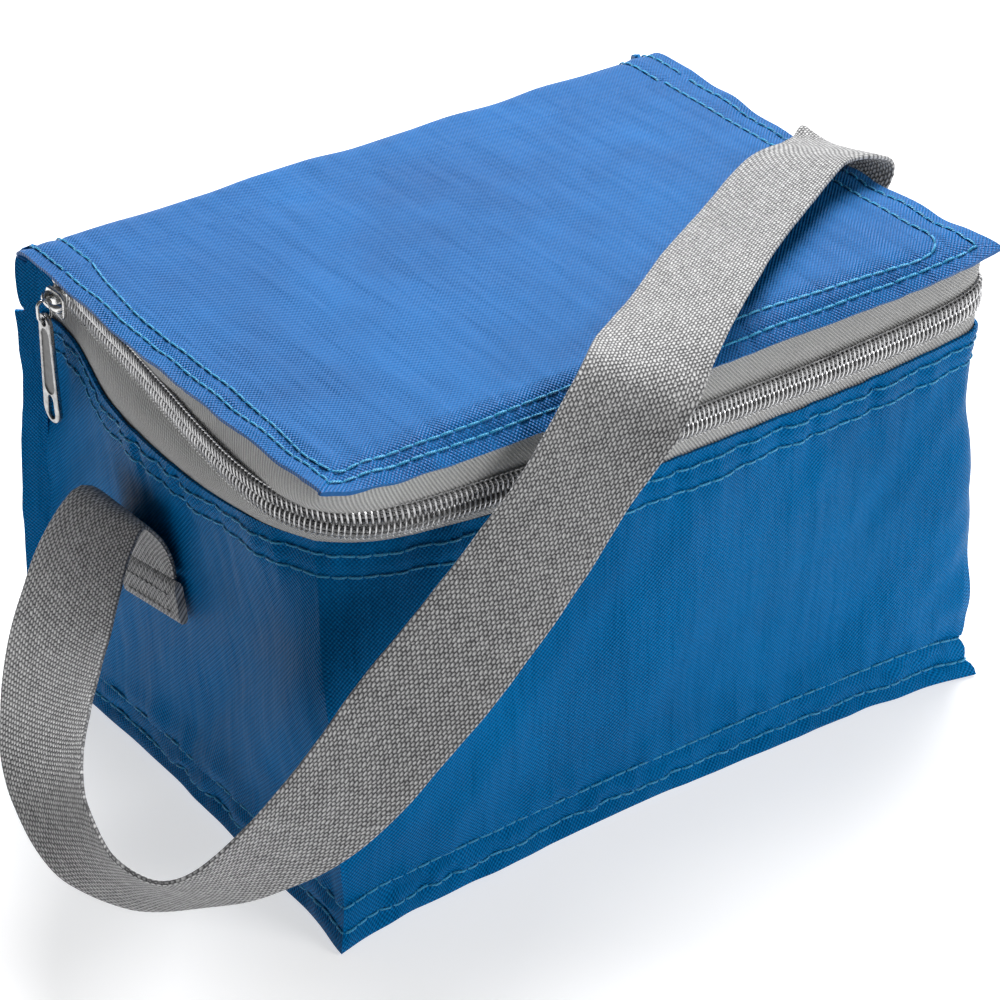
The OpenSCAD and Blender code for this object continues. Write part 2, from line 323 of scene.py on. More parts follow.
def weave_cloth(name, dark, light, spec, tint, rough=0.46, period=1.15):
    """Plain weave with soft creases: warp and weft lie over each other every period, in mm."""
    g = Shader(name)
    uv, u, v = g.uv()
    weave = g.math("MULTIPLY", g.wave(u, period), g.wave(v, period))
    place = g.where()
    broad = g.noise(place, 14, 3)
    fine = g.noise(place, 90, 4)
    # Painted shade: the colour is darker in the weave's low cells, the same ones the bump sinks; the two
    # noises are random tone.
    mix = g.scaled(weave, 0.42, g.scaled(fine, 0.25, g.math("MULTIPLY", broad, 0.75)))
    colour = g.ramp(mix, [(0.28, dark), (0.72, light)])
    streak = g.node("Mapping", Vector=uv, Rotation=(0, 0, 0.35), Scale=(0.16, 0.022, 1))
    soft = g.bump(g.noise(streak.outputs[0], 1.0, 3), 0.003, 0.6)
    normal = g.bump(weave, 0.00014, 1.0, soft)
    roughness = g.scaled(fine, 0.25, rough - 0.12)
    return g.surface(colour, roughness, normal, Specular_IOR_Level=spec, Specular_Tint=(*tint, 1))


def webbing(name, dark, mid, light):
    """Coarse basket weave: short floats in staggered columns, with painted shade in the gaps between them."""
    g = Shader(name)
    uv, u, v = g.uv()
    wobble = g.math("MULTIPLY", g.math("SUBTRACT", g.noise(uv, 0.5, 3), 0.5), 0.9)
    col = g.math("DIVIDE", g.math("ADD", u, wobble), 0.86)
    stagger = g.math("MULTIPLY", g.math("FLOOR", col), 0.5)
    row = g.math("ADD", g.math("DIVIDE", g.math("ADD", v, g.math("MULTIPLY", wobble, 1.4)), 1.6), stagger)
    cell = g.node("CombineXYZ", g.math("FLOOR", col), g.math("FLOOR", row))
    speck = g.node("TexWhiteNoise", Vector=cell.outputs[0]).outputs[0]
    a = g.math("ABSOLUTE", g.math("SINE", g.math("MULTIPLY", col, math.pi)))
    b = g.math("ABSOLUTE", g.math("SINE", g.math("MULTIPLY", row, math.pi)))
    float_height = g.math("MULTIPLY", g.math("POWER", a, 0.8), g.math("POWER", b, 0.9))
    fibre = g.noise(uv, 2.6, 5)
    normal = g.bump(g.scaled(fibre, 0.5, float_height), 0.00035, 0.9)
    # Painted shade: the tone follows the floats' height, so the gaps between floats are dark; the speck of
    # each float and the fibre noise are random tone.
    tone = g.scaled(g.math("SUBTRACT", speck, 0.5), 0.22, float_height)
    tone = g.scaled(g.math("SUBTRACT", fibre, 0.5), 0.7, tone)
    colour = g.ramp(tone, [(0.08, dark), (0.42, mid), (1.0, light)])
    return g.surface(colour, 0.75, normal, Specular_IOR_Level=0.3, Sheen_Weight=0.15)


def twill_tape(name, dark, light):
    """Woven zip tape with fine slanted ribs."""
    g = Shader(name)
    uv, u, v = g.uv()
    slant = g.math("ADD", u, g.math("MULTIPLY", v, 0.7))
    rib = g.wave(slant, 1.05)
    cross = g.wave(v, 0.5)
    fibre = g.noise(uv, 2.5, 3)
    height = g.scaled(cross, 0.25, rib)
    # Painted shade: the colour is darker in the valleys between the ribs, over random fibre tone.
    colour = g.ramp(g.scaled(height, 0.24, fibre), [(0.2, dark), (0.75, light)])
    return g.surface(colour, 0.7, g.bump(height, 0.00016, 1.0), Sheen_Weight=0.3)


def twisted_thread(name, dark, light):
    """Thread with a fine twist round its length."""
    g = Shader(name)
    uv, u, v = g.uv()
    twist = g.wave(g.math("ADD", v, u), 0.8)
    # Painted shade: the colour is darker in the grooves of the twist.
    colour = g.ramp(g.scaled(twist, 0.3, 0.5), [(0.1, dark), (0.9, light)])
    return g.surface(colour, 0.45, g.bump(twist, 0.00008, 0.8), Sheen_Weight=0.2)


def metal(name, dark, light, rough, scratch=600, metallic=1.0):
    """Plated metal, a little uneven in its colour and its shine."""
    g = Shader(name)
    n = g.noise(g.where(), scratch, 4)
    colour = g.ramp(n, [(0.3, dark), (0.7, light)])
    return g.surface(colour, g.scaled(n, 0.2, rough - 0.08), g.bump(n, 0.00004, 0.4), Metallic=metallic)


def foil(name):
    """Crinkled foil face of the lining."""
    g = Shader(name)
    place = g.where()
    n = g.noise(place, 55, 5)
    cells = g.node("TexVoronoi", Vector=place, Scale=120)
    cells.feature = "DISTANCE_TO_EDGE"
    crease = g.math("MINIMUM", g.math("MULTIPLY", cells.outputs[0], 4), 1.0)
    colour = g.ramp(n, [(0.3, (0.55, 0.56, 0.58)), (0.7, (0.85, 0.86, 0.87))])
    return g.surface(colour, 0.34, g.bump(g.scaled(n, 1.5, crease), 0.0004, 0.45), Metallic=0.85)


def foam_skin(name):
    g = Shader(name)
    n = g.noise(g.where(), 700, 3)
    colour = g.ramp(n, [(0.3, (0.7, 0.7, 0.68)), (0.7, (0.88, 0.88, 0.86))])
    return g.surface(colour, 0.85, g.bump(n, 0.0002, 0.6))


# Painted light: one blue nylon in two copies, each tuned to the light its parts get. The lid's copy, also
# used on the back panel and the fold, has its own colours and a strong purple-tinted shine, a painted sheen;
# the walls' copy has a weak blue-tinted shine.
NYLON = weave_cloth("nylon_blue", (0.0, 0.076, 0.22), (0.0, 0.160, 0.43), 0.1, (0.02, 0.35, 0.9), 0.42)
LID_NYLON_LIT_COPY = weave_cloth(
    "nylon_blue_lid_lit_copy", (0.0003, 0.062, 0.185), (0.001, 0.130, 0.365), 0.35, (0.55, 0.42, 1.0)
)
STRAP = webbing("webbing_grey", (0.05, 0.05, 0.053), (0.22, 0.22, 0.223), (0.52, 0.52, 0.52))
TAPE = twill_tape("zip_tape_grey", (0.24, 0.24, 0.24), (0.46, 0.46, 0.45))
COIL = metal("zip_coil_silver", (0.42, 0.42, 0.43), (0.75, 0.75, 0.75), 0.28, 400, 0.75)
CORE = twisted_thread("coil_core", (0.13, 0.13, 0.135), (0.30, 0.30, 0.30))
NICKEL = metal("nickel", (0.45, 0.45, 0.44), (0.75, 0.75, 0.74), 0.22)
THREAD = twisted_thread("thread_blue", (0.0, 0.19, 0.40), (0.005, 0.36, 0.66))
GREY_THREAD = twisted_thread("thread_grey", (0.2, 0.2, 0.21), (0.42, 0.42, 0.42))
FOIL = foil("foil_lining")
FOAM = foam_skin("foam_white")

# ---------------------------------------------------------------- plans of the body and of the zip
# Columns along a side, along half of the front and along the whole front or back; the column where
# the right side begins
SIDE_N, FRONT_N = 84, 72
WIDE_N = 2 * FRONT_N
RIGHT_AT = SIDE_N + WIDE_N
RIM_SIDE = [
    (-100, 75), (-99.8, 60), (-101, 44), (-102.6, 24), (-103, 4), (-102.4, -14), (-101, -28), (-98.5, -40),
    (-93.5, -51.5)
]
RIM_FRONT = [(-93.5, -51.5), (-86, -57.5), (-76, -62), (-58, -66), (-35, -69.5), (-15, -71.8), (0, -72.8)]
RIM_FRONT_RIGHT = [(0, -72.8), (30, -73.4), (60, -73.4), (85, -73), (98, -72.8), (104.2, -71.2), (106, -67)]
RIM_SIDE_RIGHT = [(106, -67), (105.6, -58), (103.4, -30), (101.5, 0), (100.4, 44), (100, 75)]
CHAIN_SIDE = [
    (-97.8, 69), (-98, 62), (-98.8, 44), (-99.6, 25), (-101, 5), (-102.3, -13), (-102.8, -30), (-101.5, -44),
    (-97.5, -55)
]
CHAIN_FRONT = [
    (-97.5, -55), (-93.5, -61), (-87.5, -66.3), (-80, -69.5), (-71, -71), (-52, -72.3), (-25, -73.5),
    (0, -74)
]
CHAIN_FRONT_RIGHT = [(0, -74), (50, -74), (85, -73.2), (98, -72.6), (104, -70.5), (106.2, -66)]
CHAIN_SIDE_RIGHT = [(106.2, -66), (105.8, -58), (103.2, -30), (101.2, 0), (99.5, 44), (98, 69)]


def around(side, front, front_right, side_right):
    """Plan of the body from the back left round the front to the back right."""
    parts = [
        even(side, SIDE_N)[:-1], even(front, FRONT_N)[:-1], even(front_right, FRONT_N)[:-1],
        even(side_right, SIDE_N)
    ]
    return np.vstack(parts)


def heights(plan, left, front, right):
    """Height along a plan: by y on the left side, by x across the front and by y on the right side."""
    z = np.interp(plan[:, 0], *front)
    z[:SIDE_N] = np.interp(plan[:SIDE_N, 1], *left)
    z[RIGHT_AT + 1:] = np.interp(plan[RIGHT_AT + 1:, 1], *right)
    return np.convolve(np.pad(z, 3, mode="edge"), np.ones(7) / 7, mode="valid")


RIM = around(RIM_SIDE, RIM_FRONT, RIM_FRONT_RIGHT, RIM_SIDE_RIGHT)
CHAIN = around(CHAIN_SIDE, CHAIN_FRONT, CHAIN_FRONT_RIGHT, CHAIN_SIDE_RIGHT)
COLS = len(RIM)
arc = lengths(RIM)
# For each column: share of the way along the left side or the front, and back along the right side
side_share = np.linspace(0, 1, SIDE_N + 1)[:-1]
share = np.concatenate([side_share, np.linspace(0, 1, WIDE_N + 1), side_share[::-1]])
on_side = np.concatenate([np.ones(SIDE_N), np.zeros(WIDE_N + 1), np.ones(SIDE_N)])
corner_left = bump_at(np.arange(COLS), SIDE_N, 9.0)
corner_near = np.maximum(corner_left, bump_at(np.arange(COLS), RIGHT_AT, 4.0))
zip_height = heights(
    CHAIN,
    ([-52, 69], [118, 128.9]),
    ([-95, -80, -20, 45, 86, 99, 104.5, 106.2], [118, 118, 117.5, 117.4, 118.6, 120.3, 122.2, 122.9]),
    ([-66, -50, 69], [122.9, 124.2, 129]),
)
rim_height = heights(
    RIM,
    (
        [-51.5, -40, -30, -10, 10, 30, 40, 45, 52, 58, 66, 75],
        [107.5, 107.4, 107.0, 106.2, 106.2, 106.8, 108, 110.5, 114.6, 116.6, 117.4, 117.6]
    ),
    ([-93, 0, 30, 58, 87, 101, 106], [107.5, 107.3, 108.0, 108.6, 109.9, 111.2, 112]),
    ([-67, -40, 40, 60, 75], [112, 112, 113, 116.5, 117.6]),
)

# Base outline: a rectangle whose sides are drawn in between its corners
BASE_X, BASE_FRONT, BASE_BACK = 103.3, -74.2, 75.3
# The back panel: its plane, half its width at the top and the height where the fold begins
REAR_Y, REAR_HALF, REAR_TOP = 75.0, 99.6, 122.0


def base_ring(out):
    """Closed outline of the base, grown outwards by out, one number for each column or one for all.

    Each side of a unit square is stretched to its length and drawn in a little in its middle.
    """
    side = np.linspace(0, 1, SIDE_N + 1)
    front = np.linspace(-1, 1, WIDE_N + 1)
    back = -front[1:-1]
    square = np.vstack([
        stacked(-1, 1 - side[:-1]), stacked(front, 0), stacked(1, side[1:]), stacked(back, 1)
    ])
    draw = np.concatenate([
        1.2 * hump(side[:-1]), 2.6 * (1 - front**2) ** 0.7,
        1.2 * hump(side[1:]), 1.5 * (1 - back**2),
    ])
    is_side = np.append(on_side, np.zeros(len(back)))
    half = BASE_X + out - draw * is_side
    low = BASE_FRONT - out + draw * (1 - is_side) * (square[:, 1] < 0.5)
    high = BASE_BACK + out - draw * (1 - is_side) * (square[:, 1] > 0.5)
    return stacked(square[:, 0] * half, low + (high - low) * square[:, 1])


ring_share = np.concatenate([share, np.linspace(0, 1, WIDE_N + 1)[1:-1]])
RING = len(ring_share)
ring_corner = np.zeros(RING)
for corner in (0, SIDE_N, RIGHT_AT, COLS - 1):
    away = np.abs(np.arange(RING) - corner)
    ring_corner = np.maximum(ring_corner, bump_at(np.minimum(away, RING - away), 0, 5.0))
crease_height = 13.5 + 1.5 * np.sin(np.arange(RING) / RING * 2 * math.pi + 5.2) - 1.5 * ring_corner

# ---------------------------------------------------------------- side-and-front wall
ROWS = 58
# The rim's two stitch rows, below its edge, and the lid's, in from its edges
RIM_ROW_1, RIM_ROW_2 = 4, 10
LID_ROW_1, LID_ROW_2 = 4, 12
up_wall = np.linspace(0, 1, ROWS)[:, None]
wall_z = crease_height[:COLS] * (1 - up_wall) + rim_height * up_wall


def loft(low, high, height, up):
    """Wall whose plan passes from the low one to the high one, mostly over the middle of its height."""
    plan = between(low, high, 0.35 * up + 0.65 * ease(up))
    return stacked(plan[..., 0], plan[..., 1], height)


WALL = loft(base_ring(0.0)[:COLS], RIM, wall_z, up_wall)
belly = np.where(on_side > 0.5, -2.4, 2.2) * hump(up_wall) * hump(share) ** 0.6
x_along = np.broadcast_to(arc[None], wall_z.shape)
slant = x_along * 0.8 - wall_z * 0.6
folds = 1.9 * noise(slant, x_along * 0.6 + wall_z * 0.8, 3, 19, 60) + 0.7 * noise(slant, wall_z, 5, 9, 34)
folds *= ease(up_wall / 0.12) * ease((1 - up_wall) / 0.2)
from_rim = rim_height - wall_z
pucker = 0.95 * noise(x_along, from_rim, 7, 3.4, 30) * fade(from_rim, 9, 9) * ease(from_rim / 3)
pucker += 0.9 * noise(x_along, from_rim * 0.4, 8, 7.5, 30) * fade(from_rim, 10, 22) * ease(from_rim / 5)
rows_groove = -0.35 * (bump_at(from_rim, RIM_ROW_1, 1.0) + bump_at(from_rim, RIM_ROW_2, 1.0))
ridge = 0.35 * bump_at(from_rim, 7, 2.0) + 0.3 * bump_at(from_rim, 1.2, 1.5)
from_crease = wall_z - crease_height[:COLS]
low_pucker = 0.9 * noise(x_along, 0, 9, 3.4) * np.exp(-from_crease / 7)
broad_pucker = 1.5 * noise(x_along + wall_z * 0.5, wall_z * 0.2, 10, 9)
low_pucker = low_pucker + broad_pucker * np.exp(-from_crease / 16) * ease(from_crease / 3)
low_roll = 0.4 * bump_at(from_crease, 3.5, 3.0) * (1 - 0.5 * corner_near)
relief = belly + folds + pucker + rows_groove + ridge + low_pucker + low_roll
WALL = WALL + grid_normals(WALL) * relief[..., None]
wall = cloth("wall_cloth", WALL, NYLON, 0.9, uv=stacked(x_along, wall_z))
dress(wall, "bag", "nylon_blue", "outer_wrap")

# ---------------------------------------------------------------- base hem
# The hem's section from the floor up: how far out it stands and the share of its height
PROFILE = [
    (-0.7, 1.0), (-0.6, 0.93), (0.0, 0.84), (0.4, 0.7), (0.6, 0.55), (0.4, 0.43), (0.0, 0.37), (0.5, 0.30),
    (1.2, 0.18), (1.6, 0.07), (1.7, 0.02)
]
ring_pos = np.arange(RING) * 1.45
edge_lift = np.append(np.where(on_side > 0.5, 1.6, 2.4) * hump(share) ** 0.8, hump(ring_share[COLS:]))
hem = []
for out, level in PROFILE:
    wave = (
        1.6 * noise(ring_pos, level * 20, 11, 4.6) * (1 - abs(2 * level - 1))
        + 0.6 * noise(ring_pos, 0, 13, 9) * (1 - level)
    )
    ear = (1 - level) * 1.6 * ring_corner
    xy = base_ring(out + wave + ear)
    z = 0.3 + edge_lift * (1 - level) + (crease_height - 0.3) * level
    hem.append(np.column_stack([xy, z]))
HEM = np.array(hem[::-1])
hem_u = lengths(np.vstack([HEM[5], HEM[5][:1]]))
hem_uv = np.stack(np.meshgrid(hem_u[:-1], lengths(HEM[:, 40])), -1)
base_hem = cloth("base_hem", HEM, NYLON, 1.0, close=True, uv=hem_uv)
dress(base_hem, "bag", "nylon_blue", "base_seam_flange")

# Base cloth inside the hem, drawn in a little from the floor
inward = np.linspace(0, 1, 24)[:, None]
base_x, base_y = base_ring(0.6).T[:, None] * (1 - inward * 0.999)
base_y = base_y + 0.5 * inward * 0.999
base_z = 0.45 + (edge_lift + 0.5) * (1 - inward) ** 6
base_z = base_z + 0.25 * (1 + noise(base_x, base_y, 15, 14)) * ease(inward * 4)
BASE = stacked(base_x, base_y, base_z)[::-1]
floor_cloth = cloth("base_cloth", BASE, NYLON, 0.35, close=True, uv=BASE[..., :2])
dress(floor_cloth, "bag", "nylon_blue", "outer_base")

# ---------------------------------------------------------------- back panel and its seam allowances
BACK_ROWS = 60
back_across = np.linspace(1, -1, WIDE_N + 1)[None]
up_share = np.linspace(0, 1, BACK_ROWS)[:, None]
back_low = np.vstack([base_ring(0.0)[COLS - 1:], base_ring(0.0)[:1]])
crease_back = np.append(crease_height[COLS - 1:], crease_height[0])
back_x = back_low[None, :, 0] * (1 - up_share) + back_across * REAR_HALF * up_share
back_y = back_low[None, :, 1] * (1 - up_share) + REAR_Y * up_share
back_z = crease_back[None] * (1 - up_share) + REAR_TOP * up_share
bulge = 1.6 * (1 - back_across**2) + 0.7 * noise(back_x * 0.8 + back_z * 0.6, back_z, 17, 22, 60)
BACK = stacked(back_x, back_y + bulge * hump(up_share), back_z)
back = cloth("back_cloth", BACK, LID_NYLON_LIT_COPY, 0.8, uv=stacked(-BACK[..., 0], BACK[..., 2]))
dress(back, "bag", "nylon_blue", "outer_back")

# Width of a corner's seam allowance by height
FLANGE_TIP = [(3, 7.2), (20, 8.6), (43, 8.7), (64, 8.1), (77, 7.6), (90, 6.7), (103, 6.3), (117, 6.9)]


def corner_flange(side, low, high, rows, seed):
    """Seam allowance that stands out of a rear corner: the long one, or its short upper end.

    The long one on the right is narrower and leans back, so that the strap can swing past it.
    """
    is_long = low < 100
    z = np.linspace(low, high, rows)[:, None]
    t = np.linspace(0, 1, 9)[None]
    if is_long:
        tip = np.interp(z, *np.array(FLANGE_TIP, float).T)
    else:
        tip = 6.0 * np.sqrt(np.clip(1 - ((z - 126.5) / 10.5) ** 4, 0.01, 1))
    tip = (tip + 0.35 * noise(z, 0, seed, 7)) * (0.8 if side > 0 and is_long else 1)
    lean = np.array([0.78, 0.62] if side < 0 else [0.40, 0.90])
    reach = tip * t
    root_y = 74.6
    root_x = 99.2 + (103.0 - REAR_HALF) * np.clip(1 - z / REAR_TOP, 0, 1)
    wave = 0.45 * noise(z, reach, seed + 1, 9, 20) * t
    px = root_x + lean[0] * reach + lean[1] * wave
    py = root_y + lean[1] * reach - lean[0] * wave
    return stacked(side * px, py, z)


for side, label in SIDES:
    F = corner_flange(side, 2.0, 117.3, 70, 21)
    part = cloth("corner_seam_" + label, F, NYLON, 1.1)
    dress(part, "bag", "nylon_blue")

# ---------------------------------------------------------------- lid
LID_COLS, LID_ROWS = 150, 100
FRONT_EDGE, SIDE_EDGE, LID_REAR = 76.0, 105.0, 56.0
lid_x = np.linspace(-SIDE_EDGE, SIDE_EDGE, LID_COLS)
lid_d = np.concatenate([np.linspace(0, 16, 21)[:-1], np.linspace(16, FRONT_EDGE + LID_REAR, LID_ROWS - 20)])
LID_X, LID_D = np.meshgrid(lid_x, lid_d)
# How far the lid's front edge hangs down, along its width
DROP_X = np.linspace(-115, 115, 231)
DROP = np.interp(
    DROP_X,
    [-105, -104, -97, -89, -82, -75, -66, -40, 11, 34, 61, 82, 92, 101, 105],
    [0.4, 0.8, 2.9, 4.8, 5.9, 6.6, 7.8, 8.1, 6.9, 6.6, 6.6, 5.7, 4.4, 2.7, 1.4],
)
DROP = np.convolve(np.pad(DROP, 4, mode="edge"), np.ones(9) / 9, mode="valid")


def lid_surface(X, D):
    """Lid's face from x and the distance from its front edge, along the cloth."""
    drop = np.interp(X, DROP_X, DROP)
    t = np.clip((13 - D) / 13, 0, 1)
    z = 138.0 - drop * t**1.4
    shorten = 13 - np.sqrt(np.maximum(169 - (drop * 1.02) ** 2, 1))
    y = -FRONT_EDGE + D + shorten * t
    edge = SIDE_EDGE - abs(X)
    v = (y + FRONT_EDGE) / (LID_REAR + FRONT_EDGE)
    sag = 2.2 * hump(np.clip(v, 0, 1)) ** 0.8
    z = z - sag * np.clip((15 - edge) / 15, 0, 1) ** 1.5
    return y, z


LID_Y, LID_Z = lid_surface(LID_X, LID_D)


def inner_row(X, y):
    """How far the inner stitch row lies from the side edge and from the front edge."""
    left = np.interp(y, [-70, -50, -25, 20, 40, 56], [5.5, 6.5, 8, 7.6, 9, 12])
    return np.where(X < 0, left, 11.2), 7.2 + 2.4 * np.exp(-(((X - 22) / 45) ** 2))


edge_x = SIDE_EDGE - abs(LID_X)
side_in, front_in = inner_row(LID_X, LID_Y)
edge_near = np.minimum(edge_x, LID_D)
row_near = LID_ROW_2 + np.minimum(edge_x - side_in, LID_D - front_in)
rear_fade = ease((LID_REAR - LID_Y) / 12)
lid_relief = -0.35 * bump_at(edge_near, LID_ROW_1, 0.9) - 0.35 * bump_at(row_near, LID_ROW_2, 1.0)
lid_relief += 0.3 * bump_at(edge_near, 8, 2.6)
run_of_edge = np.where(edge_x < LID_D, LID_Y, LID_X)
edge_pucker = noise(run_of_edge, 0, 31, 3.2) * ease(edge_near / 3 + 0.25)
lid_relief += 0.3 * edge_pucker * fade(edge_near, 5, 5) * rear_fade
lid_relief += 0.5 * noise(run_of_edge, edge_near * 0.4, 32, 9.0) * fade(edge_near, 4, 12) * rear_fade
inner = ease((edge_near - 10) / 18) * ease((LID_REAR - LID_Y) / 16)
creases = 0.5 * noise(LID_X * 0.9 - LID_Y * 0.45, LID_Y, 33, 26, 70)
lid_relief += inner * (creases + 0.28 * noise(LID_X, LID_Y, 35, 15, 22))
dome_x = np.clip(1 - (LID_X / SIDE_EDGE) ** 2, 0, 1)
dome_y = np.clip(1 - ((LID_Y + 5) / 72) ** 2, 0, 1)
lid_relief += inner * dome_x * dome_y
edge_wave = 0.6 * noise(run_of_edge, 0, 37, 8) * np.exp(-edge_near / 3.0) * rear_fade
LID = stacked(LID_X, LID_Y, LID_Z)
LID = LID + grid_normals(LID) * (lid_relief + 0.4 * edge_wave)[..., None]
corner_out = np.exp(-((edge_x + LID_D) / 9.0) ** 2)
LID[..., 0] += np.sign(LID_X) * np.where(LID_X > 0, 1.2, 0.2) * corner_out
LID[..., 1] -= np.where(LID_X > 0, 0.6, -0.4) * corner_out
LID[..., 2] += 0.6 * corner_out
lid = cloth("lid_cloth", LID, LID_NYLON_LIT_COPY, 1.2, uv=stacked(LID_X, LID_D))
dress(lid, "lid", "nylon_blue", "outer_lid")

# Fold from the back panel over into the lid
FOLD_ROWS = 44
fold_profile = even(
    [(75.0, 121.5), (75.6, 128), (76.0, 133), (74.4, 136.6), (70, 138.0), (62, 138.0), (55.9, 138.0)],
    FOLD_ROWS
)
fold_across = np.linspace(-1, 1, 121)
half = REAR_HALF + (SIDE_EDGE - REAR_HALF) * ease((fold_profile[:, 1:] - 128) / 8)
FOLD = stacked(-fold_across[None] * half, fold_profile[:, :1], fold_profile[:, 1:])
fold_edge = (1 - abs(fold_across)) * SIDE_EDGE
fold_rows_relief = -0.35 * (bump_at(fold_edge, LID_ROW_1, 0.9) + bump_at(fold_edge, LID_ROW_2, 1.0))
fold_rows_relief += 0.3 * bump_at(fold_edge, 8, 2.6)
middle = hump(np.linspace(0, 1, FOLD_ROWS + 1))[:, None]
fold_relief = fold_rows_relief * ease((FOLD[..., 2] - 130) / 6)
fold_relief += 0.5 * noise(FOLD[..., 0], lengths(fold_profile)[:, None], 41, 16, 14) * middle
FOLD = FOLD + grid_normals(FOLD) * fold_relief[..., None]
fold_uv = stacked(-FOLD[..., 0], 131 - lengths(fold_profile)[:, None])
fold = cloth("back_fold", FOLD, LID_NYLON_LIT_COPY, 0.9, uv=fold_uv)
dress(fold, "fold", "nylon_blue", "lid_hinge_fold")

# ---------------------------------------------------------------- zip tapes
lip_plan = around(
    [(-102.5, 69), (-102.6, 30), (-102.8, -20), (-102.5, -55), (-99.5, -70.5)],
    [(-99.5, -70.5), (-92, -73), (-80, -73.4), (-50, -73.4), (0, -73.4)],
    [(0, -73.4), (50, -73.4), (80, -73.4), (96, -73.2), (102.8, -72.5), (104.8, -70)],
    [(104.8, -70), (104.6, -58), (103.2, -20), (102.6, 30), (102.5, 69)],
)
back_share = (lip_plan[:, 1] + FRONT_EDGE) / (LID_REAR + FRONT_EDGE)
sag_side = 2.2 * hump(np.clip(back_share, 0, 1)) ** 0.8
front_part = ease((-lip_plan[:, 1] - 62) / 8)
front_sag = 0.9 * np.interp(lip_plan[:, 0], DROP_X, DROP) * front_part
lip = np.column_stack([lip_plan, 137.0 - front_sag - sag_side * (1 - front_part) * 0.8])
chain_line = np.column_stack([CHAIN, zip_height])
chain_out = unit(np.cross(unit(np.gradient(chain_line, axis=0)), [0, 0, 1.0]))
rim_line = np.column_stack([RIM, rim_height])
t = np.linspace(0, 1, 15)[:, None]


def tape_grid(low, top, swell, quicker, seed, cell):
    """Tape between its lower and its upper edge, swelling outwards in between, with small waves."""
    swollen = hump(np.clip(t * quicker, 0, 1)) * swell
    wave = 0.25 * noise(arc[None], t * 10, seed, cell, 6) * hump(t)
    return between(low, top, t) + chain_out * swollen[..., None] + chain_out * wave[..., None]


hidden_low = chain_line - chain_out * 1.3 + np.array([0, 0, 0.9])
tape_up = tape_grid(hidden_low, lip - chain_out * 1.0, 0.9 + 2.4 * corner_left, 1.05, 51, 10)
upper_tape = cloth("tape_upper", tape_up, TAPE, 0.7, uv=stacked(arc, t * 14))
dress(upper_tape, "lid", "zip_tape", "zip_tape_lid")

hidden_low = rim_line - chain_out * 1.5 + np.array([0, 0, -2.0])
hidden_top = chain_line - chain_out * 1.5 + np.array([0, 0, -0.9])
swell = 0.9 + 1.5 * on_side * hump(share) + 0.3 * corner_left
tape_low = tape_grid(hidden_low, hidden_top, swell, 1.0, 53, 8)
lower_tape = cloth("tape_lower", tape_low, TAPE, 0.6, uv=stacked(arc, t * 11))
dress(lower_tape, "bag", "zip_tape", "zip_tape_body")

# ---------------------------------------------------------------- zip coils
chain_len = lengths(chain_line)
PITCH = 1.45


def on_chain(s, up, out):
    """Point beside the chain's middle line at a distance along it, up and outwards."""
    p, o = along(s, chain_len, chain_line), unit(along(s, chain_len, chain_out))
    return p + o * np.asarray(out)[..., None] + np.array([0, 0, 1.0]) * np.asarray(up)[..., None]


def coil_half(name, side, start):
    """One half of the coil: a flattened helix of wire, the band sewn over it and its edge loops."""
    turns = int((chain_len[-1] - 2) / PITCH)
    n = turns * 12
    q = np.linspace(0, turns * 2 * math.pi, n)
    s = 1 + start + q / (2 * math.pi) * PITCH + 0.25 * np.sin(q)
    wire = Batch()
    wire.tube(on_chain(s, side * (1.75 + 2.2 * np.cos(q)), 0.1 + 0.95 * np.sin(q)), 0.29, 5)
    at = 1 + start + (np.arange(turns) + 0.5) * PITCH
    bend = np.cos(np.linspace(-1.5, 1.5, 5))
    for c in at:
        here = c + np.linspace(-0.36, 0.36, 5)
        wire.tube(on_chain(here, side * (4.0 + 0.35 * bend), 0.2 + 0.45 * bend), 0.24, 5)
    part = wire.make(name, COIL)
    cord = Batch()
    line = np.arange(0.5, chain_len[-1] - 0.5, PITCH / 6)
    rib = np.cos((line - 1 - start) * 2 * math.pi / PITCH)
    for up in (2.0, 3.0):
        cord.tube(on_chain(line, side * (up + 0 * line), 0.62 + 0.16 * rib), 0.36 + 0.07 * rib, 6)
    cord.tube(on_chain(line, side * (1.75 + 0 * line), 0 * line), 0.62, 6)
    core = cord.make(name + "_cord", CORE)
    return part, core


for side, body, node, start in ((1, "lid", "zip_coil_lid", 0.0), (-1, "bag", "zip_coil_body", PITCH / 2)):
    part, core = coil_half("coil_of_" + body, side, start)
    dress(part, body, "zip_coil", node)
    dress(core, body, "thread_grey")

# ---------------------------------------------------------------- slider, ring and tab
# Middle of the slider, x of its outer plate and of the ring and tab, foot of the hole in its bow,
# top of the tab, and the slope of the chain where the slider rests
SLIDER_Y, SLIDER_Z = 59.0, 127.99
PLATE_X, RING_X = -103.1, -106.2
HOLE_LOW, TAB_TOP = 123.89, 125.44
SLOPE = 0.09
LEFTWARD = Matrix(((0, 0, -1, 0), (-1, 0, 0, 0), (0, 1, 0, 0), (0, 0, 0, 1)))


